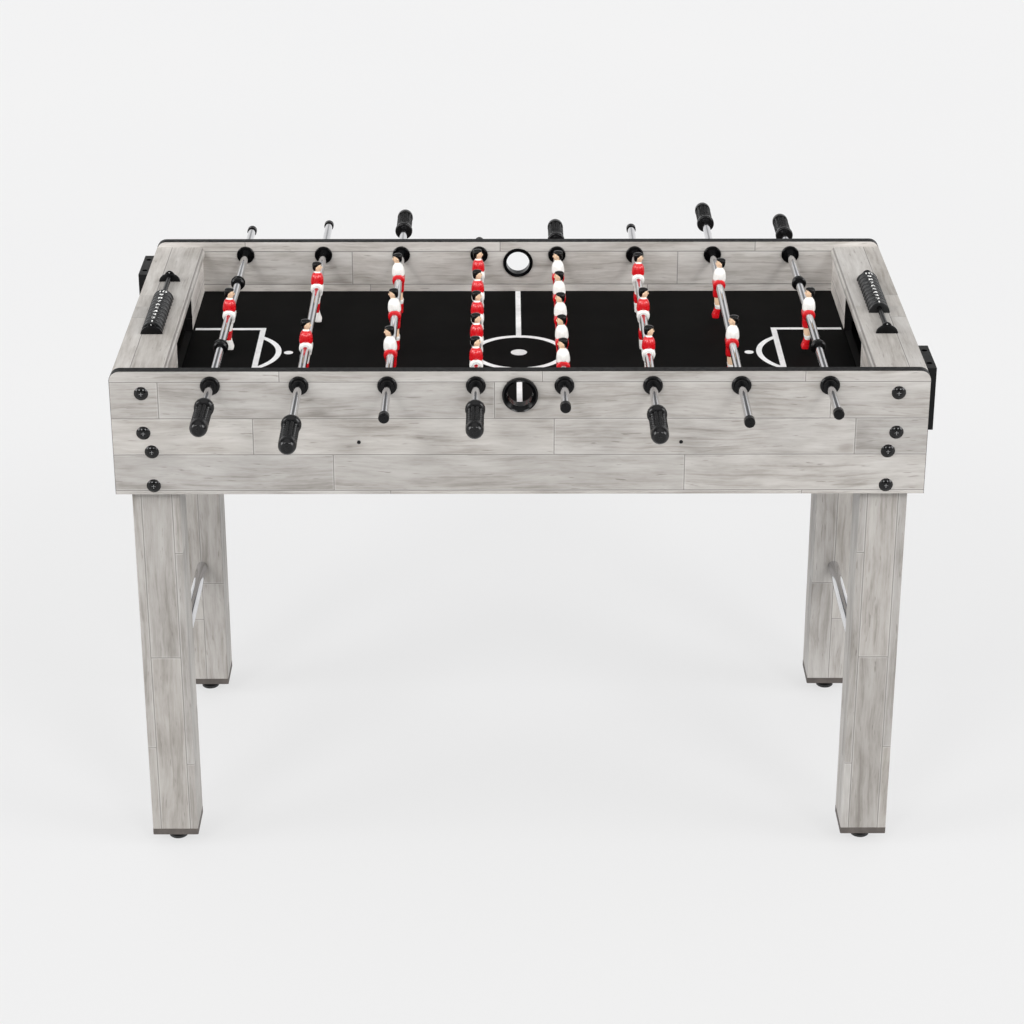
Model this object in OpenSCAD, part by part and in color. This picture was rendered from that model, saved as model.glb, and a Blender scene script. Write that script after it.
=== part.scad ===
// Foosball table, 48 inch class: a cabinet on four legs, and eight rods with 22 players.
// Frame: +X runs along the playing field, +Y to the back, +Z up. The origin is on the floor,
// midway between the four feet.

/* [Cabinet] */
// Length of the two long side panels
table_l = 1219; // [1200:1:1240]
// Width over the two long side panels
table_w = 610; // [600:1:620]
// Height of the long panels' top edge above the floor
table_h = 825; // [800:1:850]
// Height of a long side panel
panel_h = 199; // [190:1:210]
// Thickness of the panels
panel_t = 15; // [12:1:16]
// Radius of the long panels' top corners
corner_r = 16; // [10:1:18]
// Thickness of the black edging on the long panels
trim_t = 0.6; // [0.4:0.1:1.5]
// Width of the top board over each end
end_board_w = 79; // [76:1:82]
// Drop of the end top boards below the long panels' top edge
end_board_drop = 9.6; // [6:0.2:12]

/* [Playing field] */
// Depth of the field's surface below the long panels' top edge
field_drop = 88; // [86:1:92]
// Thickness of the playing field board
field_t = 6; // [4:1:8]
// Width of a goal mouth
goal_w = 206; // [180:1:220]
// Height of a goal mouth
goal_h = 55; // [50:1:58]
// Thickness of a goal wall
goal_t = 12; // [10:1:12]

/* [Rods] */
// Distance between neighbouring rods
rod_pitch = 131.3; // [128:0.1:132]
// Depth of the rod axes below the long panels' top edge
rod_drop = 22.8; // [20:0.2:26]
// Rod diameter
rod_d = 12.7; // [12:0.1:14]
// Wall thickness of a rod
rod_wall = 1.5; // [1:0.1:2]
// Length of a grip with its collar
grip_l = 94; // [80:1:120]
// Diameter of a grip's body
grip_d = 27; // [24:1:30]
// Diameter of a grip's collar
collar_d = 29.5; // [28:0.5:34]
// Diameter of a rod's rubber end cap
cap_d = 16; // [15:0.5:20]
// Length of a rod's rubber end cap
cap_l = 13; // [10:1:18]
// Width of a player over the arms
player_w = 24; // [20:1:26]

/* [Legs] */
// Side of a square leg
leg_w = 72; // [66:1:76]
// Distance from the table's middle to a leg's outer side
leg_x = 587.5; // [580:0.5:590]
// Height of a leg's top end above the floor
leg_top = 708; // [690:1:708]
// Height of a leg cap's underside above the floor
cap_lift = 21; // [16:1:30]
// Thickness of a leg cap
leg_cap_t = 10.6; // [8:0.2:14]
// Diameter of a leveling foot
foot_d = 30; // [26:1:36]
// Diameter of the cross tubes between front and rear legs
tube_d = 19; // [16:1:22]
// Height of the cross tubes above the floor
tube_z = 253; // [200:1:320]

/* [Ball return and scoring] */
// Width of a ball return box
return_w = 95; // [90:1:96]
// Height of a ball return box
return_h = 100; // [92:1:100]
// How far a ball return box stands out of the end panel
return_out = 16.5; // [14:0.5:24]
// Inside diameter of a ball entry cup
entry_d = 39; // [37:1:40]
// Outside diameter of a ball entry cup
entry_rim_d = 53.6; // [50:0.2:54]
// Length of a scorer
scorer_l = 250; // [240:1:260]
// Thickness of one score bead
bead_l = 14.6; // [13:0.1:15]

/* [Hidden] */
$fn = 48;
eps = 0.01;
half_l = table_l / 2;
half_w = table_w / 2;
in_w = half_w - panel_t;
panel_z = table_h - panel_h;
rod_z = table_h - rod_drop;
rod_r = rod_d / 2;
field_z = table_h - field_drop;
end_x = half_l - 1.5;
board_in_x = end_x - end_board_w;
board_z = table_h - end_board_drop;
board_t = 15;
wall_in_x = board_in_x + 3;
wall_top = board_z - board_t;
wall_z = leg_top + 1;
end_in_x = end_x - panel_t;

// Clearance between a rod and what it slides or turns in, of glued pieces, and of an entry cup
run_fit = 0.07;
glue_fit = 0.05;
entry_fit = 0.2;

// The eight rods from left to right: how many players each carries
ROD_MEN = [1, 2, 3, 5, 5, 3, 2, 1];
// The side of its grip: -1 front, 1 back
ROD_SIDE = [-1, -1, 1, -1, 1, -1, 1, 1];
// How far each rod is pulled to the back where it stands
ROD_REST = [0, -8, -2, -14, -22, 0, 8, 0];
// How far each rod's players lean towards +X where they stand
ROD_LEAN = [2, 1, -2, -2, -1, 0, 3, 2];
// Spacing of the players, and the distances from their middle to the grip's tip and the cap's end,
// for rods with 1, 2, 3 and 5 players
function spacing(men) = men == 2 ? 268 : men == 3 ? 170 : 101;
function tip_at(men) = men == 1 ? 480 : men == 2 ? 536 : men == 3 ? 508 : 474;
function cap_at(men) = men == 1 ? 424 : men == 2 ? 462 : men == 3 ? 434 : 376;
bumper_at = 146;
bumper_l = 13;
bumper_d = 23.6;
cap_wall = 2;

function rod_x(i) = (i - 3.5) * rod_pitch;

// Bearings: a flanged bush from inside and a round nut from outside, each with a raised ring
bush_d = 19;
neck_d = 18;
flange_d = 29.4;
flange_t = 4;
bush_ring_d = 22.4;
bush_ring_t = 3;
nut_ring_t = 5;

// Carriage bolts: two into the end blocks and two into each leg, from both long sides
block_bolt_x = 562.5;
block_bolt_z = [789.5, 726];
leg_bolt_z = [695.5, 640];
leg_mid_x = leg_x - leg_w / 2;
leg_mid_y = in_w - leg_w / 2;
bolt_r = 3;
bolt_hole_r = 3.1;
bolt_head_r = 10.7;
bolt_head_h = 5;
block_bolt_l = 38;
leg_bolt_l = panel_t + leg_w + 9;
ledger_screw_x = 241;
ledger_screw_z = 711;
screw_r = 1.6;
screw_head_r = 2.8;

entry_z = 788;
entry_r = entry_d / 2;
entry_tube_r = entry_r + 2.5;

// Ball returns: at the right end near the front, at the left end near the back
return_in = 165;
return_z = 711;
return_wall = 3;
return_lip = 28;
ramp_t = 4;
ramp_high_y = 150;
ramp_high_z = 730;
ramp_low_y = 262;
ramp_low_z = 717;

stem_r = 4;
stem_top = 60;
foot_t = 8;

scorer_x = (board_in_x + end_x) / 2 - 1;
scorer_r = 17;
rail_r = 4;
rail_z = board_z + 7;
bracket_t = 8;
bead_gap = 0.4;
bead_r = 16.5;
bead_lift = 0.5;

// ---- helpers ----

// Both signs of X, or of Y, for pieces that come in pairs
module both_ends() {
    children();
    mirror([1, 0, 0]) children();
}
module both_sides() {
    children();
    mirror([0, 1, 0]) children();
}
// A piece at one end and the same piece turned half round at the other
module opposite_ends() {
    children();
    rotate([0, 0, 180]) children();
}
// A cylinder along +Y from the given height and X
module y_rod(r, l) {
    rotate([-90, 0, 0]) cylinder(r = r, h = l);
}
// A square with rounded corners, centred
module soft_square(w, d, r) {
    square([w - 2 * r, d], center = true);
    square([w, d - 2 * r], center = true);
    for (x = [-1, 1], y = [-1, 1]) {
        translate([x * (w / 2 - r), y * (d / 2 - r)]) circle(r = r);
    }
}
// The outline of a long side panel with rounded top corners, shrunk by s on its top and ends
module panel_outline(s) {
    r = corner_r - s;
    translate([-half_l + s, 0]) square([table_l - 2 * s, panel_h - corner_r]);
    translate([-half_l + corner_r, 0]) square([table_l - 2 * corner_r, panel_h - s]);
    for (x = [-1, 1]) {
        translate([x * (half_l - corner_r), panel_h - corner_r]) circle(r = r);
    }
}
// Bolt and screw positions on a long side, in the panel's own X and Z
module at_block_bolts() {
    for (x = [-1, 1], z = block_bolt_z) translate([x * block_bolt_x, 0, z]) children();
}
module at_leg_bolts() {
    for (x = [-1, 1], z = leg_bolt_z) translate([x * leg_mid_x, 0, z]) children();
}
module at_ledger_screws() {
    for (x = [-1, 1]) translate([x * ledger_screw_x, 0, ledger_screw_z]) children();
}

// ---- cabinet ----

module front_panel_board() {
    difference() {
        translate([0, -in_w, panel_z]) rotate([90, 0, 0])
            linear_extrude(panel_t) panel_outline(trim_t);
        for (i = [0:7]) {
            translate([rod_x(i), -half_w - 1, rod_z]) y_rod(bush_d / 2 + glue_fit, panel_t + 2);
        }
        translate([0, -half_w - 1, entry_z]) y_rod(entry_tube_r + entry_fit, panel_t + 2);
        translate([0, -half_w - 1, 0]) {
            at_block_bolts() y_rod(bolt_hole_r, panel_t + 2);
            at_leg_bolts() y_rod(bolt_hole_r, panel_t + 2);
            at_ledger_screws() y_rod(screw_r + glue_fit, panel_t + 2);
        }
    }
}
module front_panel() {
    color("silver") front_panel_board();
}
module back_panel() {
    color("silver") mirror([0, 1, 0]) front_panel_board();
}

// The black edging over the top and down both ends of each long panel
module panel_edge_trim() {
    color("black") both_sides()
        translate([0, -in_w, panel_z]) rotate([90, 0, 0]) linear_extrude(panel_t)
            difference() {
                panel_outline(0);
                panel_outline(trim_t);
                translate([-half_l + trim_t, -1]) square([table_l - 2 * trim_t, 2]);
            }
}

// An end panel with the cut-out that its ball return box sits in, for the right end
module end_panel_board() {
    difference() {
        translate([end_in_x, -in_w, panel_z]) cube([panel_t, 2 * in_w, wall_top - panel_z]);
        translate([end_in_x - 1, -return_in - return_w + 2, return_z + 2])
            cube([panel_t + 2, return_w - 4, wall_top]);
    }
}
module right_end_panel() {
    color("silver") end_panel_board();
}
module left_end_panel() {
    color("silver") rotate([0, 0, 180]) end_panel_board();
}

module goal_walls() {
    color("silver") both_ends() difference() {
        translate([wall_in_x, -in_w, wall_z]) cube([goal_t, 2 * in_w, wall_top - wall_z]);
        translate([wall_in_x - 1, -goal_w / 2, field_z - 2]) cube([goal_t + 2, goal_w, goal_h + 2]);
    }
}

// A top board closes each hollow end; its inner edge steps down twice to the goal wall
module end_top_boards() {
    step = 2.5;
    color("silver") both_ends() rotate([90, 0, 0]) translate([0, 0, -in_w])
        linear_extrude(2 * in_w) polygon([
            [board_in_x, wall_top],
            [end_x, wall_top],
            [end_x, board_z],
            [board_in_x + 2 * step, board_z],
            [board_in_x + step, board_z - step],
            [board_in_x + step, board_z - 2 * step],
            [board_in_x, board_z - 3 * step]]);
}

module playfield() {
    gap = 0.2;
    color("black") translate([0, 0, field_z - field_t / 2])
        cube([2 * (wall_in_x - gap), 2 * (in_w - gap), field_t], center = true);
}

// Ledgers along the long panels, battens across under the field, and blocks in the end corners
module inner_battens() {
    top = field_z - field_t - 0.2;
    ledger_h = 30;
    ledger_t = 18;
    batten_h = 24;
    batten_w = 24;
    ledger_x = leg_x - leg_w - 5;
    block_x = wall_in_x + goal_t + 2;
    block_w = end_in_x - 2 - block_x;
    block_t = 25;
    color("tan") {
        both_sides() difference() {
            translate([-ledger_x, -in_w, top - ledger_h]) cube([2 * ledger_x, ledger_t, ledger_h]);
            translate([0, -in_w - 1, 0]) at_ledger_screws() y_rod(screw_r + glue_fit, ledger_t + 2);
        }
        for (x = [-2:2]) {
            translate([x * (wall_in_x - batten_w / 2 - 0.5) / 2 - batten_w / 2, -in_w + ledger_t + 1,
                top - (abs(x) == 2 ? top - wall_z - 1 : batten_h)])
                cube([batten_w, 2 * (in_w - ledger_t - 1), abs(x) == 2 ? top - wall_z - 1 : batten_h]);
        }
        both_ends() both_sides() difference() {
            translate([block_x, -in_w, wall_z]) cube([block_w, block_t, wall_top - wall_z - 1]);
            translate([0, -in_w - 1, 0]) at_block_bolts() y_rod(bolt_hole_r, block_t + 2);
        }
    }
}

// Inside each hollow end a board slopes from the goal to the ball return box; an upright board
// closes its high end and a wedge at its low end turns the ball outwards
module ball_return_ramps() {
    gap = 0.5;
    low_x = wall_in_x + goal_t + gap;
    high_x = end_in_x - gap;
    stop_t = 6;
    stop_h = 60;
    wedge = 44;
    color("tan") opposite_ends() {
        translate([low_x, 0, 0]) rotate([90, 0, 90]) linear_extrude(high_x - low_x) polygon([
            [-ramp_low_y, ramp_low_z - ramp_t],
            [ramp_high_y + stop_t, ramp_high_z - ramp_t],
            [ramp_high_y + stop_t, ramp_high_z + stop_h],
            [ramp_high_y, ramp_high_z + stop_h],
            [ramp_high_y, ramp_high_z],
            [-ramp_low_y, ramp_low_z]]);
        translate([low_x, -ramp_low_y, ramp_low_z - 1]) linear_extrude(42)
            polygon([[0, 0], [high_x - low_x, 0], [0, wedge]]);
    }
}

// A ball return box: a shell set in the end panel, open to the hollow end, with a window in its
// outer face above a lip that keeps the ball in, and two screw recesses in its top
module ball_return_boxes() {
    y0 = -return_in - return_w;
    w = return_wall;
    out_x = end_x + return_out;
    color("black") opposite_ends() difference() {
        union() {
            translate([end_x, y0, return_z]) cube([return_out, return_w, return_h]);
            translate([end_in_x, y0 + 2.2, return_z + 2.2])
                cube([panel_t + 1, return_w - 4.4, wall_top - return_z - 2.6]);
        }
        translate([end_in_x - 1, y0 + 2.2 + w, return_z + 2.2 + w])
            cube([panel_t + return_out + 1 - w, return_w - 4.4 - 2 * w,
                wall_top - return_z - 2.6 - 2 * w]);
        translate([end_x, y0 + w + 8, return_z + return_lip])
            cube([return_out + 1, return_w - 2 * w - 16, return_h - return_lip - 18]);
        for (y = [0.22, 0.78]) {
            translate([out_x - return_out / 2, y0 + y * return_w, return_z + return_h - 4])
                cylinder(d = 9, h = 5);
        }
    }
}

// A ball entry cup in each long panel: a tube with a dished rim outside and a flat rim inside
module ball_entry_cups() {
    rim_r = entry_rim_d / 2;
    out = 7;
    color("black") both_sides() translate([0, -half_w, entry_z]) rotate([-90, 0, 0])
        rotate_extrude($fn = 96) polygon([
            [entry_r, 0],
            [rim_r - 2.5, -out + 1],
            [rim_r - 1, -out],
            [rim_r, -out + 1.5],
            [rim_r, 0],
            [entry_tube_r, 0],
            [entry_tube_r, panel_t],
            [entry_r + 5.5, panel_t],
            [entry_r + 5.5, panel_t + 2.5],
            [entry_r, panel_t + 2.5]]);
}

module rod_bearings() {
    bore = rod_r + run_fit;
    color("black") both_sides() for (i = [0:7]) {
        translate([rod_x(i), -half_w, rod_z]) rotate([-90, 0, 0]) rotate_extrude() polygon([
            [bore, -flange_t - nut_ring_t + 1],
            [neck_d / 2, -flange_t - nut_ring_t + 1],
            [neck_d / 2, 0],
            [bush_d / 2, 0],
            [bush_d / 2, panel_t],
            [flange_d / 2, panel_t],
            [flange_d / 2, panel_t + flange_t - 1],
            [flange_d / 2 - 1, panel_t + flange_t],
            [bush_ring_d / 2, panel_t + flange_t],
            [bush_ring_d / 2, panel_t + flange_t + bush_ring_t],
            [bore, panel_t + flange_t + bush_ring_t]]);
    }
}
module bearing_nuts() {
    bore = neck_d / 2 + glue_fit;
    color("black") both_sides() for (i = [0:7]) {
        translate([rod_x(i), -half_w, rod_z]) rotate([90, 0, 0]) rotate_extrude() polygon([
            [bore, 0],
            [flange_d / 2, 0],
            [flange_d / 2, flange_t - 1.5],
            [flange_d / 2 - 1.5, flange_t],
            [bush_ring_d / 2, flange_t],
            [bush_ring_d / 2 - 1, flange_t + nut_ring_t],
            [bore, flange_t + nut_ring_t]]);
    }
}

module panel_bolts() {
    color("black") both_sides() {
        translate([0, -half_w, 0]) at_block_bolts() bolt(block_bolt_l);
        translate([0, -half_w, 0]) at_leg_bolts() bolt(leg_bolt_l);
    }
}
// A carriage bolt along +Y whose head's underside is at the origin
module bolt(l) {
    ball_r = (bolt_head_r * bolt_head_r + bolt_head_h * bolt_head_h) / (2 * bolt_head_h);
    intersection() {
        translate([0, ball_r - bolt_head_h, 0]) sphere(r = ball_r, $fn = 64);
        translate([0, -bolt_head_h - 1, 0]) y_rod(bolt_head_r, bolt_head_h + 1);
    }
    translate([0, -eps, 0]) y_rod(bolt_r, l);
}
module leg_nuts() {
    color("dimgray") both_sides() translate([0, -in_w + leg_w, 0]) at_leg_bolts() difference() {
        y_rod(6.5, 5);
        translate([0, -1, 0]) y_rod(bolt_hole_r, 7);
    }
}
module panel_screws() {
    color("black") both_sides() translate([0, -half_w, 0]) at_ledger_screws() {
        translate([0, -0.8, 0]) y_rod(screw_head_r, 0.8);
        translate([0, -eps, 0]) y_rod(screw_r, 30);
    }
}

// ---- legs ----

module leg_pair() {
    bottom = cap_lift + leg_cap_t;
    color("silver") both_ends() difference() {
        translate([leg_mid_x, -leg_mid_y, bottom]) linear_extrude(leg_top - bottom)
            soft_square(leg_w, leg_w, 1.5);
        translate([leg_mid_x, -leg_mid_y, bottom - 1])
            cylinder(r = stem_r + run_fit, h = stem_top + 2 - bottom + 1);
        translate([0, -in_w - 1, 0]) at_leg_bolts() y_rod(bolt_hole_r, leg_w + 2);
        translate([leg_mid_x, -in_w + leg_w - 15, tube_z]) y_rod(tube_d / 2 + glue_fit, 16);
    }
}
module front_legs() {
    leg_pair();
}
module rear_legs() {
    mirror([0, 1, 0]) leg_pair();
}
module leg_caps() {
    color("dimgray") both_ends() both_sides() difference() {
        translate([leg_mid_x, -leg_mid_y, cap_lift]) linear_extrude(leg_cap_t)
            soft_square(leg_w + 0.6, leg_w + 0.6, 2.5);
        translate([leg_mid_x, -leg_mid_y, cap_lift - 1])
            cylinder(r = stem_r + run_fit, h = leg_cap_t + 2);
    }
}
module leg_cross_tubes() {
    reach = in_w - leg_w + 14;
    color("lightgray") both_ends() translate([leg_mid_x, -reach, tube_z]) difference() {
        y_rod(tube_d / 2, 2 * reach);
        translate([0, -1, 0]) y_rod(tube_d / 2 - 1.2, 2 * reach + 2);
    }
}
// A foot that screws into a leg, at the given signs of X and Y
module leveler(x, y) {
    color("black") translate([x * leg_mid_x, y * leg_mid_y, 0]) {
        rotate_extrude() polygon([
            [0, 0],
            [foot_d / 2 - 1, 0],
            [foot_d / 2, 1],
            [foot_d / 2, foot_t - 3],
            [foot_d / 2 - 4, foot_t],
            [stem_r + 2, foot_t],
            [stem_r + 2, foot_t + 4],
            [stem_r, foot_t + 4],
            [stem_r, stem_top],
            [0, stem_top]]);
    }
}

// ---- scorers ----

// The part of a scorer's section above its flat underside: a half disc, or a lower arch
module half_disc(r) {
    intersection() {
        circle(r = r, $fn = 64);
        translate([-r, 0]) square([2 * r, r]);
    }
}
module scorer_frames() {
    reach = scorer_l / 2;
    color("black") both_ends() translate([scorer_x, 0, 0]) {
        both_sides() translate([0, -reach, board_z]) rotate([90, 0, 0])
            translate([0, 0, -bracket_t]) linear_extrude(bracket_t) half_disc(scorer_r);
        translate([0, -reach + 1, rail_z]) y_rod(rail_r, 2 * reach - 2);
    }
}
// Ten numbered beads side by side on the rail, from the given Y towards +Y
module score_beads(x, y0) {
    color("black") for (i = [0:9]) {
        translate([x, y0 + i * (bead_l + bead_gap), 0]) difference() {
            translate([0, 0, board_z + bead_lift]) rotate([90, 0, 0])
                translate([0, 0, -bead_l]) linear_extrude(bead_l) half_disc(bead_r);
            translate([0, -1, rail_z]) y_rod(rail_r + run_fit, bead_l + 2);
        }
    }
}
module left_score_beads() {
    score_beads(-scorer_x, -scorer_l / 2 + bracket_t + 0.5);
}
module right_score_beads() {
    score_beads(scorer_x, scorer_l / 2 - bracket_t - 0.5 - 10 * bead_l - 9 * bead_gap);
}

// ---- rods ----
// Each rod's pieces are made with the grip towards -Y and the players' middle at Y = 0, then
// turned half round for the other side, and moved to the rod's place and rest position

module at_rod(i) {
    translate([rod_x(i), ROD_REST[i], rod_z]) rotate([0, 0, ROD_SIDE[i] > 0 ? 180 : 0]) children();
}
// The rod runs from inside its grip to just short of the bottom of its end cap
module rod_tube(i) {
    men = ROD_MEN[i];
    l = tip_at(men) - 16 + cap_at(men) - cap_wall - 0.1;
    color("lightgray") at_rod(i) translate([0, -tip_at(men) + 16, 0]) difference() {
        y_rod(rod_r, l);
        translate([0, -1, 0]) y_rod(rod_r - rod_wall, l + 2);
    }
}
// The end cap over the rod's free end, and on a one-player rod a bumper each side of the player
module rod_stops(i) {
    men = ROD_MEN[i];
    bore = rod_r + run_fit;
    color("black") at_rod(i) {
        translate([0, cap_at(men), 0]) rotate([90, 0, 0]) rotate_extrude() polygon([
            [0, 0],
            [cap_d / 2 - 3, 0],
            [cap_d / 2 - 0.9, 0.9],
            [cap_d / 2, 3],
            [cap_d / 2, cap_l],
            [bore, cap_l],
            [bore, cap_wall],
            [0, cap_wall]]);
        if (men == 1) {
            for (y = [-1, 1]) translate([0, y * bumper_at, 0]) rotate([90, 0, 0]) bumper(bore);
        }
    }
}
// A bumper on the rod: two rounded rims with a waist between them
module bumper(bore) {
    r = bumper_d / 2;
    end = bumper_l / 2;
    rotate_extrude() polygon([
        [bore, -end],
        [r - 2, -end],
        [r, -end + 2],
        [r, -2.5],
        [r - 3, -1],
        [r - 3, 1],
        [r - 1, 2.5],
        [r - 1, end - 2],
        [r - 3, end],
        [bore, end]]);
}
// A grip with a wide collar, a waist ring and a round end
module rod_grip(i) {
    men = ROD_MEN[i];
    r = grip_d / 2;
    dome = 10;
    color("black") at_rod(i) translate([0, -tip_at(men), 0]) rotate([-90, 0, 0]) difference() {
        rotate_extrude() polygon(concat(
            [for (a = [0:15:90]) [r - dome + dome * sin(a), dome - dome * cos(a)]],
            [[r, grip_l - 18], [r - 2.5, grip_l - 15], [r - 2.5, grip_l - 12],
             [collar_d / 2, grip_l - 8], [collar_d / 2, grip_l - 1.5],
             [collar_d / 2 - 1.5, grip_l], [0, grip_l], [0, 0]]));
        translate([0, 0, 15]) cylinder(r = rod_r + glue_fit, h = grip_l);
    }
}
// A player standing over the rod, facing +X: a boot block, legs, shorts round the rod, a shirt
// and a head; the soles reach reach_down below the rod's axis
module player() {
    reach_down = 58;
    leg_d = 17;
    difference() {
        union() {
            rotate([90, 0, 0]) translate([0, 0, -leg_d / 2]) linear_extrude(leg_d) polygon([
                [-6, -reach_down],
                [7.5, -reach_down],
                [8, -reach_down + 5],
                [5.5, -reach_down + 15],
                [6.5, -14],
                [8, 0],
                [-8, 0],
                [-7, -14],
                [-5.5, -reach_down + 15],
                [-6, -reach_down + 6]]);
            translate([0, -player_w / 2 + 1.5, 0]) y_rod(11, player_w - 3);
            rotate([90, 0, 0]) translate([0, 0, -player_w / 2]) linear_extrude(player_w) polygon([
                [-9, 4],
                [9, 4],
                [9, 18],
                [6, 26],
                [-5.5, 26],
                [-8, 18]]);
            translate([0, 0, 24]) cylinder(r = 4.5, h = 8);
            translate([0.5, 0, 36]) sphere(r = 8.5);
        }
        translate([0, -player_w, 0]) y_rod(rod_r + glue_fit, 2 * player_w);
    }
}
// The players of one rod face away from their own goal; lean is their tilt towards +X
module rod_players(i) {
    men = ROD_MEN[i];
    shirt = ROD_SIDE[i] < 0 ? "crimson" : "white";
    color(shirt) translate([rod_x(i), ROD_REST[i], rod_z]) rotate([0, ROD_LEAN[i], 0])
        rotate([0, 0, ROD_SIDE[i] > 0 ? 180 : 0]) for (k = [0:men - 1]) {
            translate([0, (k - (men - 1) / 2) * spacing(men), 0]) player();
        }
}

front_panel();
back_panel();
left_end_panel();
right_end_panel();
goal_walls();
end_top_boards();
panel_edge_trim();
playfield();
inner_battens();
ball_return_ramps();
ball_return_boxes();
ball_entry_cups();
rod_bearings();
bearing_nuts();
front_legs();
rear_legs();
leg_caps();
leg_cross_tubes();
panel_bolts();
leg_nuts();
panel_screws();
scorer_frames();
left_score_beads();
right_score_beads();
leveler(-1, -1);  // front_left_leveler
leveler(1, -1);  // front_right_leveler
leveler(-1, 1);  // rear_left_leveler
leveler(1, 1);  // rear_right_leveler
for (i = [0:7]) {
    rod_tube(i);
    rod_players(i);
    rod_grip(i);
    rod_stops(i);
}
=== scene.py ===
import math

import bmesh
import bpy
from mathutils import Matrix, Vector


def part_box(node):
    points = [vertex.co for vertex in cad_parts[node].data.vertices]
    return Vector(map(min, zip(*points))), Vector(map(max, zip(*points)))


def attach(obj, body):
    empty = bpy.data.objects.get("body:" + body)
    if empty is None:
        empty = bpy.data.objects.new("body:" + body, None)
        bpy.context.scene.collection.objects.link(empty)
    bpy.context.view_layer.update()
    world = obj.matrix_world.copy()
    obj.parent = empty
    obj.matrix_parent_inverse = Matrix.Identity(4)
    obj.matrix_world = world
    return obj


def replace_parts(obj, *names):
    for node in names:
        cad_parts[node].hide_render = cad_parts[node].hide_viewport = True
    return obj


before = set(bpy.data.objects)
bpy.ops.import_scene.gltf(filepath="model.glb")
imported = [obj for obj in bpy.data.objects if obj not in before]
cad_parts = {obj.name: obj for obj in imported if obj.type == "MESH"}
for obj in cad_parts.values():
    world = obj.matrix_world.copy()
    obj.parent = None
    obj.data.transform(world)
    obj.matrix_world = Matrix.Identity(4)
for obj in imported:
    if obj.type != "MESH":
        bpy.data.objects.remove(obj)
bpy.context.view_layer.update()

MM = 0.001

X_AXIS = (1, 0, 0)
Y_AXIS = (0, 1, 0)
Z_AXIS = (0, 0, 1)

# The eight rods from left to right, in millimetres: players, side of the grip (-1 front,
# 1 back), shift towards the back and the players' lean in degrees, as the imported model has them
ROD_MEN = [1, 2, 3, 5, 5, 3, 2, 1]
ROD_SIDE = [-1, -1, 1, -1, 1, -1, 1, 1]
ROD_REST = [0, -8, -2, -14, -22, 0, 8, 0]
ROD_LEAN = [2, 1, -2, -2, -1, 0, 3, 2]
ROD_PITCH = 131.3
ROD_Z = 802.2
# By the number of players on a rod: from player to player, and from the rod's middle to the
# grip's tip
MEN_SPACING = {1: 0, 2: 268, 3: 170, 5: 101}
GRIP_TIP = {1: 480, 2: 536, 3: 508, 5: 474}

# Heights in metres, from the frame
FIELD_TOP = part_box("playfield")[1].z
BOARD_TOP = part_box("end_top_boards")[1].z


# ---- materials ----

def srgb(red, green, blue):
    """A picture colour, 0 to 255, as linear light."""
    linear = []
    for value in (red, green, blue):
        value = value / 255
        linear.append(value / 12.92 if value <= 0.04045 else ((value + 0.055) / 1.055) ** 2.4)
    return (*linear, 1.0)


class Paint:
    """A node material around one Principled shader, with a call for each kind of node."""

    def __init__(self, name):
        self.material = bpy.data.materials.new(name)
        self.material.use_nodes = True
        self.tree = self.material.node_tree
        self.shader = self.tree.nodes["Principled BSDF"]
        self.place = self.node("ShaderNodeTexCoord").outputs["Object"]

    def node(self, kind, values=(), **settings):
        made = self.tree.nodes.new(kind)
        for key, value in settings.items():
            setattr(made, key, value)
        for key, value in dict(values).items():
            self.feed(made.inputs[key], value)
        return made

    def feed(self, socket, value):
        if isinstance(value, bpy.types.NodeSocket):
            self.tree.links.new(value, socket)
        else:
            socket.default_value = value

    def math(self, operation, first, second=0.0, third=0.0):
        made = self.node("ShaderNodeMath", {0: first, 1: second, 2: third}, operation=operation)
        return made.outputs[0]

    def vector(self, operation, first, second=(0, 0, 0)):
        made = self.node("ShaderNodeVectorMath", {0: first, 1: second}, operation=operation)
        return made.outputs["Value" if operation == "DOT_PRODUCT" else "Vector"]

    def join(self, x, y, z):
        return self.node("ShaderNodeCombineXYZ", {0: x, 1: y, 2: z}).outputs[0]

    def noise(self, place, scale, detail=3.0, roughness=0.5):
        values = {"Vector": place, "Scale": scale, "Detail": detail, "Roughness": roughness}
        return self.node("ShaderNodeTexNoise", values).outputs[0]

    def scatter(self, number):
        made = self.node("ShaderNodeTexWhiteNoise", {"W": number}, noise_dimensions="1D")
        return made.outputs["Value"]

    def span(self, value, low, high, new_low, new_high, smooth=False):
        values = {"Value": value, "From Min": low, "From Max": high,
                  "To Min": new_low, "To Max": new_high}
        kind = "SMOOTHSTEP" if smooth else "LINEAR"
        return self.node("ShaderNodeMapRange", values, interpolation_type=kind).outputs[0]

    def mix(self, factor, first, second, blend="MIX"):
        made = self.node("ShaderNodeMix", data_type="RGBA", blend_type=blend)
        self.feed(made.inputs[0], factor)
        self.feed(made.inputs[6], first)
        self.feed(made.inputs[7], second)
        return made.outputs[2]

    def ramp(self, value, stops, steps=False):
        made = self.node("ShaderNodeValToRGB", {0: value})
        scale = made.color_ramp
        scale.interpolation = "CONSTANT" if steps else "LINEAR"
        while len(scale.elements) < len(stops):
            scale.elements.new(0.5)
        for element, (position, colour) in zip(scale.elements, stops):
            element.position = position
            element.color = colour
        return made.outputs[0]

    def bump(self, height, depth):
        values = {"Height": height, "Distance": depth, "Strength": 1.0}
        self.feed(self.shader.inputs["Normal"], self.node("ShaderNodeBump", values).outputs[0])

    def set(self, **values):
        """Shader sockets by name, such as base_color for Base Color."""
        names = {"ior": "IOR", "specular": "Specular IOR Level"}
        for key, value in values.items():
            self.feed(self.shader.inputs[names.get(key, key.replace("_", " ").title())], value)
        return self.material


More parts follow.
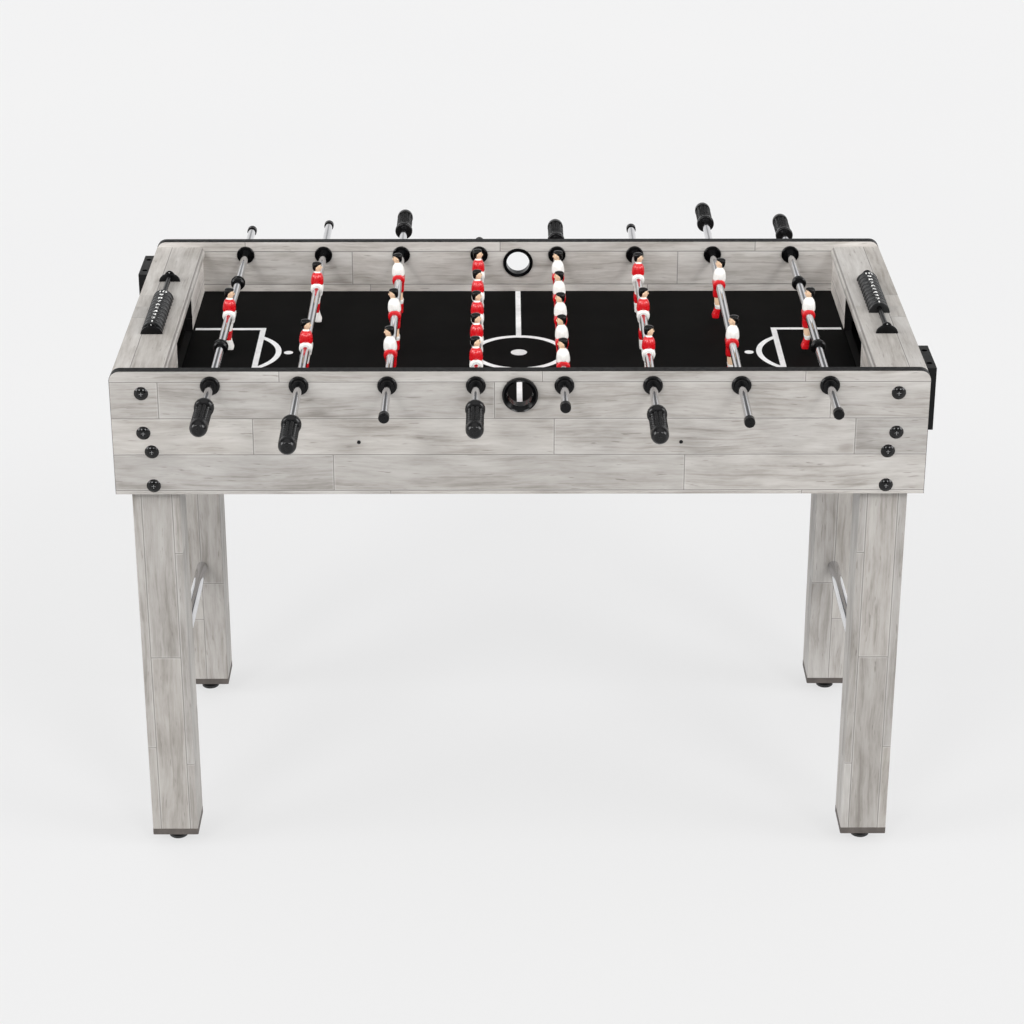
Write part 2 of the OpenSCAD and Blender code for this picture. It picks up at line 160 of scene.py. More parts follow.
def printed_oak(name, along, across, start, pitch, rows, mirrored=False, shade=1.0, dark=None):
    """Grey oak print in planks. along and across give the plank's own directions, rows gives a
    butt joint and the board length in each row of planks, counted from start, all in metres.
    shade is painted light and shade: a factor, or a function of the paint, that makes the print paler or
    darker where the lamps leave a face too dark or too bright. dark gives the part coloured near-black:
    the goal openings' cut edges, and the end panels' inner sides as painted shade."""
    paint = Paint(name)
    place = paint.vector("ABSOLUTE", paint.place) if mirrored else paint.place
    u = paint.vector("DOT_PRODUCT", place, along)
    v = paint.vector("DOT_PRODUCT", place, across)
    if mirrored:
        side = paint.vector("DOT_PRODUCT", paint.vector("SIGN", paint.place), (3.1, 7.7, 0))
    else:
        side = 0.0
    in_rows = paint.math("DIVIDE", paint.math("SUBTRACT", v, start), pitch)
    row = paint.math("FLOOR", in_rows)
    at = paint.math("DIVIDE", paint.math("ADD", row, 0.5), len(rows))
    stops = []
    for i, (joint, length) in enumerate(rows):
        stops.append((i / len(rows), (0.5 + joint / 4, length / 4, 0, 1)))
    table = paint.node("ShaderNodeSeparateColor", {0: paint.ramp(at, stops, steps=True)})
    joint = paint.math("MULTIPLY_ADD", table.outputs[0], 4.0, -2.0)
    length = paint.math("MULTIPLY", table.outputs[1], 4.0)
    in_boards = paint.math("DIVIDE", paint.math("SUBTRACT", u, joint), length)
    column = paint.math("FLOOR", in_boards)

    row_part = paint.math("SUBTRACT", in_rows, row)
    board_part = paint.math("SUBTRACT", in_boards, column)
    row_gap = paint.math("MULTIPLY", paint.math("PINGPONG", row_part, 0.5), pitch)
    board_gap = paint.math("MULTIPLY", paint.math("PINGPONG", board_part, 0.5), length)
    gap = paint.math("MINIMUM", row_gap, board_gap)
    seam = paint.span(gap, 0.0003, 0.0011, 1.0, 0.0, smooth=True)
    beside = paint.span(gap, 0.0011, 0.003, 1.0, 0.0, smooth=True)

    board = paint.math("MULTIPLY_ADD", column, 5.91, paint.math("MULTIPLY_ADD", row, 1.37, side))
    tone = paint.scatter(board)
    seed = paint.math("MULTIPLY", tone, 31.0)
    slow = paint.noise(paint.join(paint.math("MULTIPLY", u, 0.45), v, seed), 9.0, 3.0)
    wander = paint.math("MULTIPLY_ADD", slow, 0.030, v)
    streaks = paint.noise(paint.join(paint.math("MULTIPLY", u, 0.10), wander, seed), 105.0, 5.0, 0.66)
    bands = paint.noise(paint.join(paint.math("MULTIPLY", u, 0.30), wander, seed), 24.0, 4.0, 0.6)
    fibres = paint.noise(paint.join(paint.math("MULTIPLY", u, 0.06), wander, seed), 560.0, 2.0, 0.7)
    rings = paint.math("PINGPONG", paint.math("MULTIPLY", wander, 64.0), 0.5)
    rings = paint.math("MULTIPLY", paint.span(rings, 0.0, 0.14, 1.0, 0.0, smooth=True),
                       paint.span(bands, 0.42, 0.52, 1.0, 0.0, smooth=True))
    pores = paint.noise(paint.join(paint.math("MULTIPLY", u, 0.09), wander, seed), 330.0, 2.0, 0.5)
    pores = paint.span(pores, 0.66, 0.74, 0.0, 0.55, smooth=True)
    grain = paint.math("MULTIPLY_ADD", streaks, 0.44, paint.math("MULTIPLY", bands, 0.42))
    grain = paint.math("MULTIPLY_ADD", fibres, 0.14, grain)
    colour = paint.ramp(grain, [
        (0.34, srgb(132, 127, 122)),
        (0.43, srgb(153, 149, 144)),
        (0.50, srgb(166, 162, 158)),
        (0.58, srgb(176, 173, 169)),
        (0.68, srgb(185, 182, 179))])
    colour = paint.mix(paint.math("MULTIPLY", rings, 0.34), colour, srgb(112, 105, 99))
    colour = paint.mix(pores, colour, srgb(104, 97, 91))
    # light is each board's own random tone times shade, the painted light and shade
    light = paint.span(tone, 0.0, 1.0, 0.88, 1.05)
    light = paint.math("MULTIPLY", light, shade(paint) if callable(shade) else shade)
    colour = paint.mix(1.0, colour, paint.join(light, light, light), "MULTIPLY")
    warm = paint.span(paint.scatter(paint.math("ADD", board, 0.37)), 0.3, 1.0, 0.0, 0.22)
    colour = paint.mix(warm, colour, paint.mix(1.0, colour, srgb(252, 246, 236), "MULTIPLY"))

    knots = paint.node("ShaderNodeTexVoronoi", {
        "Vector": paint.join(paint.math("MULTIPLY", u, 0.45), wander, seed), "Scale": 4.5})
    knot = paint.span(knots.outputs["Distance"], 0.01, 0.05, 0.5, 0.0, smooth=True)
    colour = paint.mix(knot, colour, srgb(110, 102, 94))
    colour = paint.mix(paint.math("MULTIPLY", beside, 0.30), colour, srgb(196, 194, 191))
    colour = paint.mix(paint.math("MULTIPLY", seam, 0.62), colour, srgb(84, 78, 74))
    # Near-black where dark is set; on the end panels' inner sides this is painted shade for the inside of
    # the goal box
    if dark:
        colour = paint.mix(dark(paint), colour, srgb(15, 14, 14))
    height = paint.math("MULTIPLY_ADD", seam, -1.4, paint.math("MULTIPLY", grain, 1.2))
    paint.bump(height, 0.00022)
    rough = paint.span(grain, 0.35, 0.65, 0.56, 0.42)
    return paint.set(base_color=colour, roughness=rough)


def plastic(name, colour, rough, grain=900.0, depth=0.00004, change=0.25, coat=0.0, shine=0.5):
    """A moulded or painted plastic: mottled colour, uneven gloss and a fine moulded skin."""
    paint = Paint(name)
    cloud = paint.noise(paint.place, 38.0, 4.0, 0.6)
    dark = (colour[0] * (1 - change), colour[1] * (1 - change), colour[2] * (1 - change), 1)
    pale = (colour[0] * (1 + change), colour[1] * (1 + change), colour[2] * (1 + change), 1)
    fine = paint.noise(paint.place, grain, 2.0, 0.5)
    paint.bump(fine, depth)
    shown = paint.mix(paint.span(cloud, 0.3, 0.7, 0.0, 1.0), dark, pale)
    gloss = paint.span(paint.noise(paint.place, 120.0, 3.0), 0.3, 0.7, rough * 0.82, rough * 1.2)
    return paint.set(base_color=shown, roughness=gloss, specular=shine, coat_weight=coat,
                     coat_roughness=0.12)


def metal(name, colour, rough, brushed):
    """A plated metal with a soft stain and faint polish lines, long where brushed is small."""
    paint = Paint(name)
    lines = paint.noise(paint.vector("MULTIPLY", paint.place, brushed), 260.0, 3.0, 0.6)
    stain = paint.noise(paint.place, 14.0, 3.0, 0.55)
    dull = (colour[0] * 0.86, colour[1] * 0.86, colour[2] * 0.87, 1)
    shown = paint.mix(paint.span(stain, 0.35, 0.65, 0.0, 1.0), colour, dull)
    paint.bump(lines, 0.00001)
    gloss = paint.span(lines, 0.3, 0.7, rough * 0.7, rough * 1.5)
    return paint.set(base_color=shown, roughness=gloss, metallic=1.0)


def field_print():
    """The black laminated playing field with a fine dusty tooth."""
    paint = Paint("black_field")
    cloud = paint.noise(paint.place, 6.0, 4.0, 0.6)
    dust = paint.noise(paint.place, 1500.0, 2.0, 0.5)
    colour = paint.ramp(cloud, [(0.3, srgb(5, 5, 5)), (0.7, srgb(9, 9, 9))])
    colour = paint.mix(paint.span(dust, 0.62, 0.78, 0.0, 0.3), colour, srgb(40, 40, 40))
    paint.bump(dust, 0.00003)
    gloss = paint.span(cloud, 0.3, 0.7, 0.62, 0.72)
    return paint.set(base_color=colour, roughness=gloss, specular=0.06)


def field_ink():
    """White screen-printed lines, the ink a little thin in soft clouds."""
    paint = Paint("field_ink")
    cloud = paint.noise(paint.place, 90.0, 4.0, 0.6)
    dust = paint.noise(paint.place, 1300.0, 2.0, 0.5)
    colour = paint.ramp(cloud, [(0.3, srgb(224, 224, 224)), (0.6, srgb(240, 240, 240))])
    paint.bump(dust, 0.00003)
    return paint.set(base_color=colour, roughness=paint.span(dust, 0.3, 0.7, 0.42, 0.58))


def raw_board():
    """Bare fibreboard: small pressed chips and a soft cloud."""
    paint = Paint("raw_board")
    chips = paint.node("ShaderNodeTexVoronoi", {"Vector": paint.place, "Scale": 480.0})
    cloud = paint.noise(paint.place, 22.0, 3.0)
    colour = paint.ramp(cloud, [(0.3, srgb(124, 99, 74)), (0.7, srgb(150, 122, 92))])
    speck = paint.span(chips.outputs["Distance"], 0.1, 0.6, 0.85, 1.1)
    colour = paint.mix(1.0, colour, paint.join(speck, speck, speck), "MULTIPLY")
    paint.bump(chips.outputs["Distance"], 0.0002)
    return paint.set(base_color=colour, roughness=paint.span(cloud, 0.3, 0.7, 0.75, 0.9))


# Planes that part the masked faces from the rest, in metres: around the goal openings' cut
# edges, and just behind the inner faces of the long panels and of the end panels
GOAL_HALF_WIDTH = 0.1033
GOAL_HEIGHT = 0.0553
LONG_PANEL_INSIDE = 0.2905
END_PANEL_INSIDE = 0.5935


def goal_edges(paint):
    """The cut edges of the goal openings."""
    across = paint.vector("DOT_PRODUCT", paint.vector("ABSOLUTE", paint.place), Y_AXIS)
    up = paint.vector("DOT_PRODUCT", paint.place, Z_AXIS)
    low = paint.math("LESS_THAN", up, FIELD_TOP + GOAL_HEIGHT)
    return paint.math("MULTIPLY", paint.math("LESS_THAN", across, GOAL_HALF_WIDTH), low)


def painted_light_inside(paint):
    """Painted light on the long panels' inner faces: the print is made paler there to stand in for the
    light from below that the black field doesn't give them.
    """
    across = paint.vector("DOT_PRODUCT", paint.vector("ABSOLUTE", paint.place), Y_AXIS)
    inside = paint.math("LESS_THAN", across, LONG_PANEL_INSIDE)
    return paint.math("MULTIPLY_ADD", inside, 0.42, 1.02)


def painted_shade_front(paint):
    """Painted shade on the front legs: the print is made darker there to offset the pale floor lighting
    them more than the rear ones.
    """
    back = paint.vector("DOT_PRODUCT", paint.place, Y_AXIS)
    front = paint.math("LESS_THAN", back, 0.0)
    return paint.math("MULTIPLY_ADD", front, -0.13, 1.01)


def painted_shade_inner_side(paint):
    """Painted shade: the side of an end panel that faces the table's middle, painted near-black to stand
    in for the shade inside the goal box.
    """
    out = paint.vector("DOT_PRODUCT", paint.vector("ABSOLUTE", paint.place), X_AXIS)
    return paint.math("LESS_THAN", out, END_PANEL_INSIDE)


# Painted light: both long panels' print is made paler on the inner faces, standing in for light the black
# field doesn't give them
front_oak = printed_oak("oak_front", X_AXIS, Z_AXIS, 0.5735, 0.0585,
                        [(-0.195, 0.62), (0.247, 0.527), (0.051, 0.45), (-0.038, 0.50), (0.033, 0.39)],
                        shade=painted_light_inside)
back_oak = printed_oak("oak_back", X_AXIS, Z_AXIS, 0.5735, 0.0585,
                       [(0.1, 0.6), (-0.13, 0.52), (0.22, 0.47), (-0.28, 0.55), (-0.03, 0.43)],
                       shade=painted_light_inside)
# Painted shade: the end panels' inner sides, inside the goal boxes, are painted near-black
end_oak = printed_oak("oak_ends", Y_AXIS, Z_AXIS, 0.5735, 0.0585,
                      [(0.0, 0.6), (0.14, 0.5), (-0.05, 0.44), (0.1, 0.5), (-0.2, 0.4)],
                      dark=painted_shade_inner_side)
# Painted light: the goal walls' print is made 78 percent paler, standing in for more light on their faces
# inside the table
goal_oak = printed_oak("oak_goal_walls", Y_AXIS, Z_AXIS, 0.658, 0.050,
                       [(0.0, 0.6), (0.19, 0.5), (-0.12, 0.7), (0.05, 0.52)], shade=1.78,
                       dark=goal_edges)
# Painted light: the end boards' print is made 9 percent paler, standing in for brighter light on their
# tops
board_oak = printed_oak("oak_end_boards", Y_AXIS, X_AXIS, 0.4815, 0.0505,
                        [(0.1, 0.6), (-0.12, 0.46), (0.05, 0.40), (0.1, 0.5)], mirrored=True,
                        shade=1.09)
# Painted shade: the front legs' print is made darker to offset the pale floor lighting them more
leg_oak = printed_oak("oak_legs", Z_AXIS, (1, 1, 0), 0.6780, 0.0465,
                      [(0.3, 0.5), (0.22, 0.42), (0.52, 0.37), (0.34, 0.53), (0.18, 0.46), (0.55, 0.4)],
                      mirrored=True, shade=painted_shade_front)

black_edge = plastic("black_edging", srgb(9, 9, 10), 0.45, shine=0.22)
black_plastic = plastic("black_plastic", srgb(6, 6, 7), 0.22, shine=0.2)
box_plastic = plastic("box_plastic", srgb(7, 7, 8), 0.36, shine=0.2)
scorer_plastic = plastic("scorer_plastic", srgb(18, 19, 20), 0.34, shine=0.36)
grip_plastic = plastic("grip_plastic", srgb(4, 4, 5), 0.24, shine=0.34)
cap_plastic = plastic("leg_cap_plastic", srgb(78, 72, 68), 0.62)
foot_plastic = plastic("foot_plastic", srgb(20, 20, 20), 0.5)
bolt_black = plastic("bolt_black", srgb(6, 6, 6), 0.09, change=0.1, shine=0.3)
rubber = plastic("black_rubber", srgb(7, 7, 8), 0.28, grain=1400.0, depth=0.00006, shine=0.2)
rod_chrome = metal("rod_chrome", srgb(222, 222, 224), 0.085, (1, 0.02, 1))
worn_steel = metal("worn_steel", srgb(150, 150, 150), 0.22, (1, 1, 1))
zinc = metal("zinc_steel", srgb(190, 190, 188), 0.34, (1, 0.1, 1))
white_print = plastic("white_digits", srgb(238, 238, 236), 0.4, change=0.04)
skin = plastic("player_skin", srgb(240, 205, 172), 0.34, change=0.05, coat=0.3)
hair = plastic("player_hair", srgb(8, 7, 7), 0.2, change=0.2, coat=0.12, shine=0.2)
lips = plastic("player_lips", srgb(206, 120, 104), 0.4, change=0.05)
red_paint = plastic("player_red", srgb(206, 18, 28), 0.28, change=0.08, coat=0.4)
white_paint = plastic("player_white", srgb(240, 238, 234), 0.32, change=0.03, coat=0.3)
PLAYER_MATERIALS = [skin, hair, lips, red_paint, white_paint]
SKIN, HAIR, LIPS, RED, WHITE = range(5)


def finish_nodes(material, *names):
    for name in names:
        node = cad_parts[name]
        node.data.materials.clear()
        node.data.materials.append(material)


finish_nodes(front_oak, "front_panel")
finish_nodes(back_oak, "back_panel")
finish_nodes(end_oak, "left_end_panel", "right_end_panel")
finish_nodes(goal_oak, "goal_walls")
finish_nodes(board_oak, "end_top_boards")
finish_nodes(leg_oak, "front_legs", "rear_legs")
finish_nodes(black_edge, "panel_edge_trim")
finish_nodes(field_print(), "playfield")
finish_nodes(raw_board(), "inner_battens")
finish_nodes(box_plastic, "ball_return_ramps", "ball_return_boxes")
finish_nodes(black_plastic, "ball_entry_cups", "rod_bearings", "bearing_nuts")
finish_nodes(cap_plastic, "leg_caps")
finish_nodes(rod_chrome, "leg_cross_tubes", *[f"rod_{k}" for k in range(1, 9)])
finish_nodes(bolt_black, "panel_bolts", "panel_screws")
finish_nodes(zinc, "leg_nuts")
finish_nodes(foot_plastic, "front_left_leveler", "front_right_leveler",
             "rear_left_leveler", "rear_right_leveler")
finish_nodes(rubber, *[f"rod_{k}_stops" for k in range(1, 9)])


# ---- mesh helpers: all sizes in millimetres until the mesh is saved ----

def add_faces(mesh, rings, material, closed=True):
    """Skins a list of equal rings of points and closes both ends with a fan."""
    rows = []
    for ring in rings:
        rows.append([mesh.verts.new(point) for point in ring])
    count = len(rows[0])
    for low, high in zip(rows, rows[1:]):
        for i in range(count):
            j = (i + 1) % count
            face = mesh.faces.new((low[i], low[j], high[j], high[i]))
            face.material_index = material
    if not closed:
        return
    for row, flip in ((rows[0], True), (rows[-1], False)):
        centre = mesh.verts.new(sum((v.co for v in row), Vector()) / count)
        for i in range(count):
            j = (i + 1) % count
            corner = (row[j], row[i], centre) if flip else (row[i], row[j], centre)
            mesh.faces.new(corner).material_index = material


def oval(x, y, z, depth, width, square=2.3, sides=16):
    """A level ring of points: an oval of half sizes depth along X and width along Y."""
    points = []
    for i in range(sides):
        angle = 2 * math.pi * i / sides
        c, s = math.cos(angle), math.sin(angle)
        points.append((x + depth * math.copysign(abs(c) ** (2 / square), c),
                       y + width * math.copysign(abs(s) ** (2 / square), s), z))
    return points


def loft(mesh, material, sections, sides=16):
    """A closed form through level ovals, each (z, x, y, half depth, half width, squareness)."""
    add_faces(mesh, [oval(x, y, z, d, w, q, sides) for z, x, y, d, w, q in sections], material)


def ball(mesh, material, centre, radii, rings=7, sides=12):
    """An ellipsoid."""
    x, y, z = centre
    sections = []
    for i in range(1, rings + 1):
        angle = math.pi * i / (rings + 1)
        sections.append((z - radii[2] * math.cos(angle), x, y,
                         radii[0] * math.sin(angle), radii[1] * math.sin(angle), 2))
    loft(mesh, material, sections, sides)


def turned(mesh, material, profile, sides=48, shape=None):
    """A form turned about the Y axis from (y, radius) pairs. shape gives the radius at a place
    from y, the angle and the profile's own radius."""
    rings = []
    for y, radius in profile:
        ring = []
        for i in range(sides):
            angle = 2 * math.pi * i / sides
            r = shape(y, angle, radius) if shape else radius
            ring.append((r * math.sin(angle), y, r * math.cos(angle)))
        rings.append(ring)
    add_faces(mesh, rings, material)


def prism(mesh, material, outline, low, high, bevel):
    """An outline in X and Z carried along Y from low to high, with its end edges rounded off."""
    middle_x = sum(p[0] for p in outline) / len(outline)
    middle_z = sum(p[1] for p in outline) / len(outline)
    rings = []
    for y, inset in ((low, bevel), (low + bevel * 0.3, bevel * 0.3), (low + bevel, 0),
                     (high - bevel, 0), (high - bevel * 0.3, bevel * 0.3), (high, bevel)):
        ring = []
        for x, z in outline:
            away = Vector((x - middle_x, z - middle_z))
            away = away * (1 - inset / max(away.length, 0.001))
            ring.append((middle_x + away.x, y, middle_z + away.y))
        rings.append(ring)
    add_faces(mesh, rings, material)


def save(mesh, name, materials, sharp=38.0):
    """Turns the finished form into a mesh in metres, smooth but for edges sharper than sharp."""
    for vertex in mesh.verts:
        vertex.co *= MM
    bmesh.ops.recalc_face_normals(mesh, faces=mesh.faces)
    for face in mesh.faces:
        face.smooth = True
    for edge in mesh.edges:
        if len(edge.link_faces) == 2 and edge.calc_face_angle(0) > math.radians(sharp):
            edge.smooth = False
    data = bpy.data.meshes.new(name)
    mesh.to_mesh(data)
    mesh.free()
    for material in materials:
        data.materials.append(material)
    return data


def piece(name, data, body, place=None, rounds=0):
    """A new piece from mesh data, put in place and riding on its body."""
    made = bpy.data.objects.new(name, data)
    bpy.context.scene.collection.objects.link(made)
    if place is not None:
        made.matrix_world = place
    if rounds:
        smooth = made.modifiers.new("rounding", "SUBSURF")
        smooth.levels = rounds
        smooth.render_levels = rounds
    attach(made, body)
    return made


# ---- playing field print ----

def strip(mesh, points, width, closed=False, lift=0.12):
    """A flat line of print along points in X and Y, a hair thick, with mitred corners."""
    top, under = FIELD_TOP / MM + lift, FIELD_TOP / MM - 0.1
    rings = []
    count = len(points)
    for i, (x, y) in enumerate(points):
        before = points[i - 1] if i or closed else points[i]
        after = points[(i + 1) % count] if i < count - 1 or closed else points[i]
        first = Vector((x - before[0], y - before[1])).normalized()
        second = Vector((after[0] - x, after[1] - y)).normalized()
        run = first + second
        if first.length and second.length:
            run = run / (1 + first.dot(second))
        run = run * width / 2
        rings.append([(x - run.y, y + run.x, under), (x - run.y, y + run.x, top),
                      (x + run.y, y - run.x, top), (x + run.y, y - run.x, under)])
    if closed:
        rings.append(rings[0])
    add_faces(mesh, rings, 0, closed=not closed)


def arc(x, radius, start, stop, steps):
    """Points of an arc around (x, 0), from one angle in degrees to another."""
    points = []
    for i in range(steps + 1):
        angle = math.radians(start + (stop - start) * i / steps)
        points.append((x + radius * math.cos(angle), radius * math.sin(angle)))
    return points


def spot(mesh, x, radius):
    """A round spot of print around (x, 0)."""
    rings = []
    for z, r in ((FIELD_TOP / MM - 0.1, radius), (FIELD_TOP / MM + 0.12, radius)):
        rings.append(oval(x, 0, z, r, r, 2, 40))
    add_faces(mesh, rings, 0)


def field_lines():
    mesh = bmesh.new()
    side_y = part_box("playfield")[1].y / MM - 1
    wall_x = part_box("playfield")[1].x / MM - 4
    ring_r, ring_line, middle_line, centre_spot = 71.5, 9.5, 8.5, 13
    area_x, area_y, area_line = 417, 107, 9
    spot_x, spot_r = 368, 7.3
    arc_x, arc_r = 473, 89
    strip(mesh, arc(0, ring_r, 0, 360, 96)[:-1], ring_line, closed=True, lift=0.15)
    spot(mesh, 0, centre_spot)
    # the arc ends where it meets the penalty area's line
    reach = math.degrees(math.acos((arc_x - area_x) / arc_r))
    for sign in (-1, 1):
        strip(mesh, [(0, sign * ring_r), (0, sign * side_y)], middle_line)
        spot(mesh, sign * spot_x, spot_r)
        strip(mesh, [(sign * wall_x, -area_y), (sign * area_x, -area_y), (sign * area_x, area_y),
                     (sign * wall_x, area_y)], area_line)
        points = arc(arc_x, arc_r, 180 - reach, 180 + reach, 40)
        strip(mesh, [(sign * x, y) for x, y in points], area_line, lift=0.09)
    piece("field_lines", save(mesh, "field_lines", [field_ink()]), "cabinet")


field_lines()


# ---- players ----

def player_mesh(team):
    """A moulded player facing +X, standing over a rod along Y whose axis is the origin."""
    mesh = bmesh.new()
    if team == "red":
        shirt, shorts, leg, sock, boot, hem, knee = RED, WHITE, WHITE, RED, WHITE, -13, -26
    else:
        shirt, shorts, leg, sock, boot, hem, knee = WHITE, RED, SKIN, WHITE, RED, -22, -35

    # legs, socks and boots, side by side and touching
    for y in (-4.5, 4.5):
        loft(mesh, leg, [
            (knee - 2, -0.6, y, 4.6, 4.0, 2.2), (knee + 3, -0.4, y, 5.0, 4.3, 2.2),
            (-16, 0.2, y, 5.9, 4.9, 2.3), (-6, 0, y, 6.6, 5.2, 2.4)])
        loft(mesh, sock, [
            (-44, -1.2, y, 3.9, 3.4, 2.2), (-40, -1.3, y, 4.4, 3.8, 2.2),
            (-34 if team == "red" else -39, -1.6, y, 5.3, 4.3, 2.2),
            (knee - 1, -0.8, y, 5.2, 4.3, 2.2), (knee + 0.6, -0.6, y, 5.4, 4.5, 2.2)])
        loft(mesh, boot, [
            (-58, 1.0, y, 5.2, 3.9, 2.8), (-57.2, 1.1, y, 5.9, 4.3, 2.8),
            (-54, 1.0, y, 6.0, 4.4, 2.6), (-50, 0.3, y, 5.4, 4.2, 2.4),
            (-46, -0.7, y, 4.7, 3.9, 2.2), (-42.5, -1.2, y, 4.5, 3.8, 2.2),
            (-41, -1.2, y, 4.7, 3.9, 2.2)])

    # shorts: a short body under a hub that wraps the rod
    loft(mesh, shorts, [
        (hem, 0.2, 0, 7.6, 9.6, 3.4), (hem + 1.2, 0.2, 0, 8.3, 10.2, 3.4),
        (-9, 0, 0, 8.9, 10.5, 3.2), (-3, 0, 0, 9.8, 10.6, 3.0), (3, 0, 0, 9.6, 10.4, 3.0)])
    turned(mesh, shorts, [(-11.4, 8.0), (-11.3, 9.2), (-10.5, 10.2), (-9.2, 10.5), (9.2, 10.5),
                          (10.5, 10.2), (11.3, 9.2), (11.4, 8.0)], 32)

    # shirt with its hem over the hub, and short sleeves close to the body
    loft(mesh, shirt, [
        (5.8, 0, 0, 8.9, 8.4, 2.7), (6.9, 0, 0, 10.4, 9.8, 2.8), (9.2, 0, 0, 10.8, 10.2, 2.7),
        (13, 0.1, 0, 10.6, 10.2, 2.6), (17, 0.2, 0, 10.2, 10.3, 2.6), (20.6, 0.2, 0, 9.4, 10.3, 2.6),
        (23.4, 0.1, 0, 8.0, 9.4, 2.4), (25.4, 0, 0, 6.4, 7.6, 2.3), (27, 0, 0, 4.6, 5.6, 2.2)])
    for y in (-1, 1):
        loft(mesh, shirt, [
            (9.6, -0.2, 8.6 * y, 3.2, 2.4, 2.2), (11, -0.3, 8.9 * y, 4.3, 3.1, 2.2),
            (16, -0.3, 9.0 * y, 4.6, 3.3, 2.2), (20.5, -0.1, 8.6 * y, 4.4, 3.2, 2.2),
            (23.6, 0, 7.4 * y, 3.4, 2.8, 2.2)])

    # collar, neck and head
    loft(mesh, WHITE, [
        (24.6, 0.2, 0, 6.0, 6.4, 2.1), (26.4, 0.2, 0, 5.6, 5.8, 2.1), (28.2, 0.4, 0, 4.9, 4.9, 2.1),
        (28.6, 0.4, 0, 4.2, 4.2, 2.1)])
    loft(mesh, SKIN, [(25, 0.1, 0, 3.9, 3.8, 2), (30, 0.3, 0, 3.6, 3.5, 2), (33, 0.4, 0, 4.2, 4.0, 2)])
    loft(mesh, SKIN, [
        (27.6, 3.0, 0, 1.5, 1.5, 2.0), (28.3, 2.4, 0, 3.0, 2.9, 2.1), (29.8, 1.5, 0, 4.8, 4.3, 2.1),
        (32, 0.9, 0, 6.0, 5.3, 2.2), (35, 0.6, 0, 6.6, 5.9, 2.2), (38, 0.4, 0, 6.8, 6.1, 2.1),
        (40.6, 0.2, 0, 6.2, 5.7, 2.1), (42.6, -0.1, 0, 4.5, 4.3, 2.0), (43.4, -0.2, 0, 2.3, 2.1, 2.0)])
    loft(mesh, SKIN, [
        (33.1, 7.0, 0, 0.9, 1.2, 2), (33.8, 7.5, 0, 1.4, 1.4, 2), (35.2, 7.2, 0, 1.2, 1.0, 2),
        (37.2, 6.6, 0, 0.9, 0.8, 2)], 10)
    for y in (-1, 1):
        ball(mesh, SKIN, (-0.3, 6.0 * y, 35.0), (1.5, 0.9, 2.1), 5, 10)
        ball(mesh, HAIR, (6.35, 2.3 * y, 36.4), (0.75, 1.0, 0.75), 5, 10)
        ball(mesh, HAIR, (6.3, 2.4 * y, 38.3), (0.75, 1.4, 0.4), 4, 10)
    ball(mesh, LIPS, (6.5, 0, 31.6), (0.8, 1.6, 0.5), 4, 10)

    # hair: down the back of the head, in front of the ears, and a fringe combed across
    loft(mesh, HAIR, [
        (29.0, -3.8, 0, 1.8, 3.2, 2.2), (31, -4.1, 0, 2.9, 4.6, 2.2), (34, -3.8, 0, 3.8, 6.0, 2.2),
        (36.8, -3.0, 0, 4.7, 6.8, 2.2), (39.0, -1.8, 0, 6.0, 7.1, 2.2), (40.8, -0.7, 0, 7.1, 7.0, 2.2),
        (42.2, -0.3, 0, 7.0, 6.4, 2.2), (43.3, -0.4, 0, 5.5, 5.0, 2.1), (43.8, -0.5, 0, 3.2, 3.0, 2)], 18)
    for y, x, r in ((-3.2, 5.5, 1.8), (0.4, 6.2, 1.9), (3.6, 5.2, 1.7)):
        ball(mesh, HAIR, (x - 0.6, y, 41.2), (r, 2.3, 1.5), 5, 12)
    return save(mesh, f"player_{team}", PLAYER_MATERIALS, sharp=60)


def rod_place(index, lean):
    """The frame of a rod's pieces as modelled, with the grip towards -Y."""
    place = Matrix.Translation(((index - 3.5) * ROD_PITCH * MM, ROD_REST[index] * MM, ROD_Z * MM))
    if lean:
        place = place @ Matrix.Rotation(math.radians(ROD_LEAN[index]), 4, "Y")
    if ROD_SIDE[index] > 0:
        place = place @ Matrix.Rotation(math.pi, 4, "Z")
    return place


def rod_players():
    teams = {-1: player_mesh("red"), 1: player_mesh("white")}
    for index, men in enumerate(ROD_MEN):
        node = f"rod_{index + 1}_players"
        side = ROD_SIDE[index]
        for k in range(men):
            shift = Matrix.Translation((0, (k - (men - 1) / 2) * MEN_SPACING[men] * MM, 0))
            made = piece(f"rod_{index + 1}_player_{k + 1}", teams[side],
                         f"rod_{index + 1}_spinner",
                         rod_place(index, True) @ shift, rounds=1)
            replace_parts(made, node)


rod_players()


# ---- grips ----

